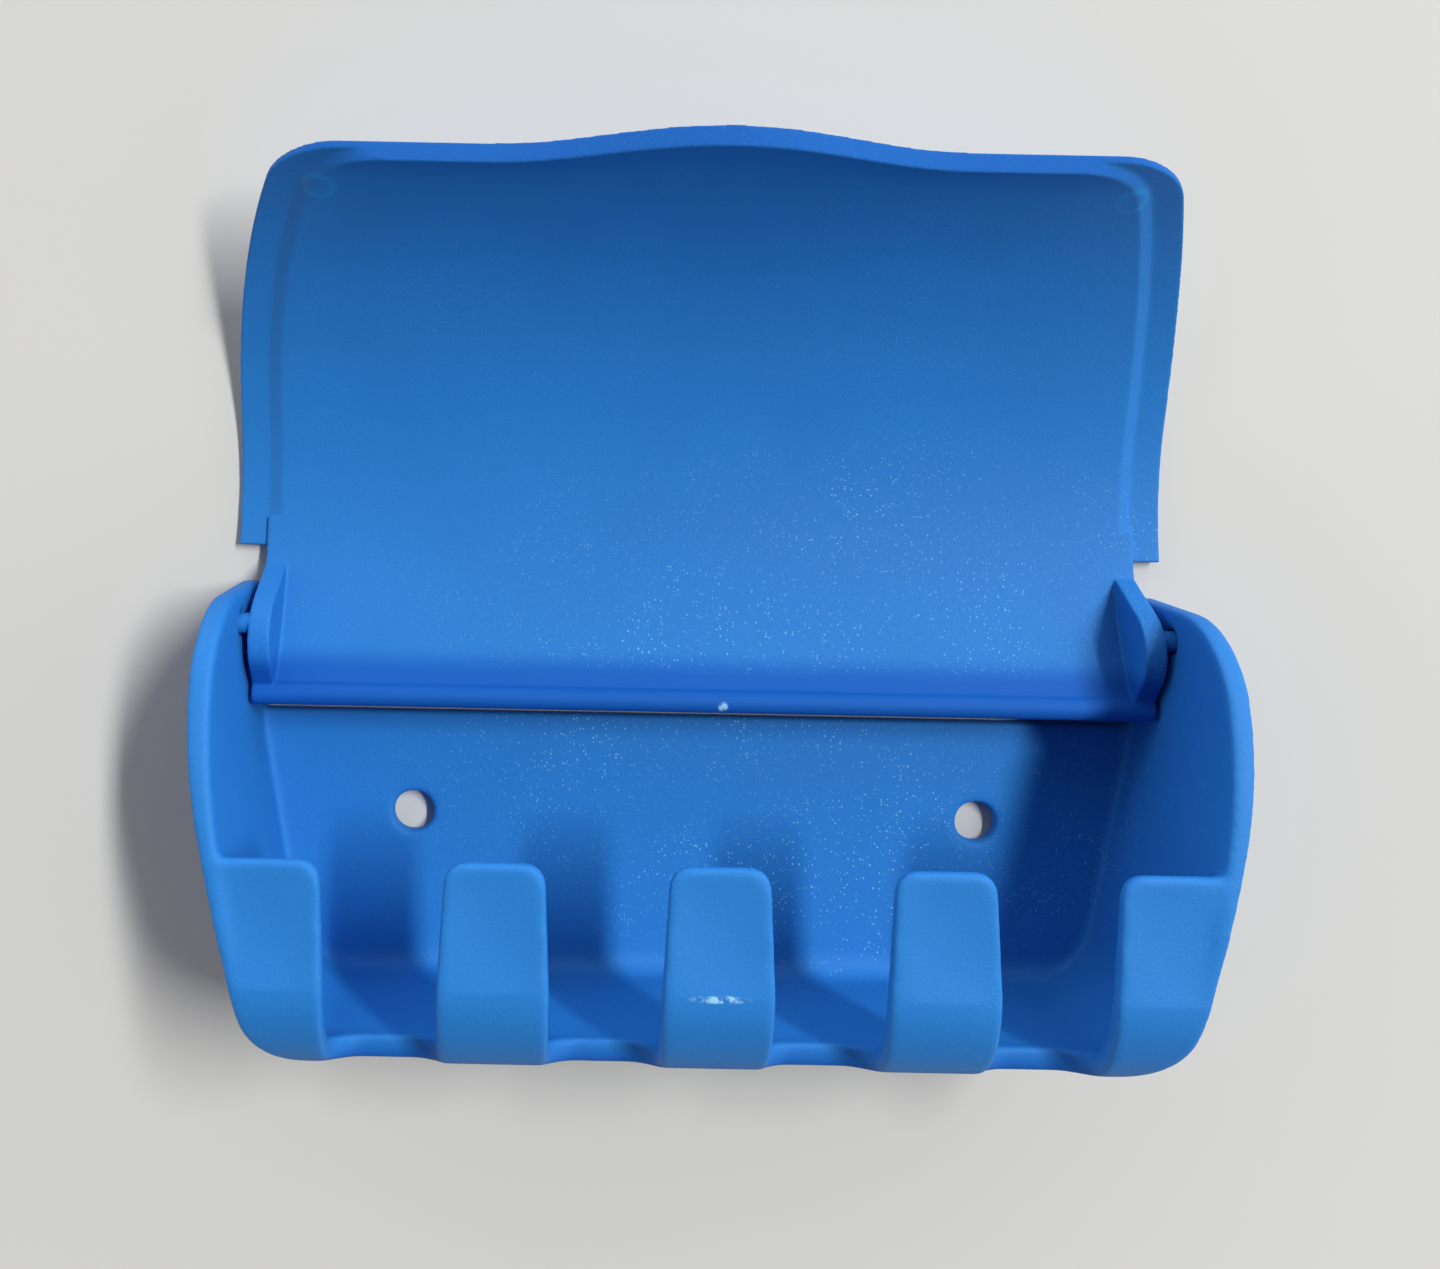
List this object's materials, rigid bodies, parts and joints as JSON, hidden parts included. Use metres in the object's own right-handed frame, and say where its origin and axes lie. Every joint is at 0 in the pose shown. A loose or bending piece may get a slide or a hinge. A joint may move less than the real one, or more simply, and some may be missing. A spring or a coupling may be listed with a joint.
{
  "type": "toothbrush head holder",
  "caption": "Wall tray for toothbrush heads: a screwed back plate between two cheeks, hooked front fingers with slots between them, and an arched lid that swings shut on side pins.",
  "frame": {"origin": "on the wall plane at the back of the plate, midway between the two screw holes", "axes": "+X to the holder's right across its width, +Y up the wall towards the hinged end, +Z out from the wall; the lid is fully open at rest"},
  "size_m": [0.115, 0.1025, 0.0303],
  "materials": {
    "body_blue_plastic": "semi-gloss moulded",
    "lid_blue_plastic": "semi-gloss moulded"
  },
  "bodies": {
    "body": {"holder_body": "body_blue_plastic"},
    "lid": {"hinged_lid": "lid_blue_plastic"}
  },
  "joints": [
    {"name": "lid_hinge", "type": "hinge", "parent": "body", "child": "lid", "pos_m": [0, 0.0245, 0.0106], "axis": [1, 0, 0], "range_deg": [0, 139]}
  ]
}
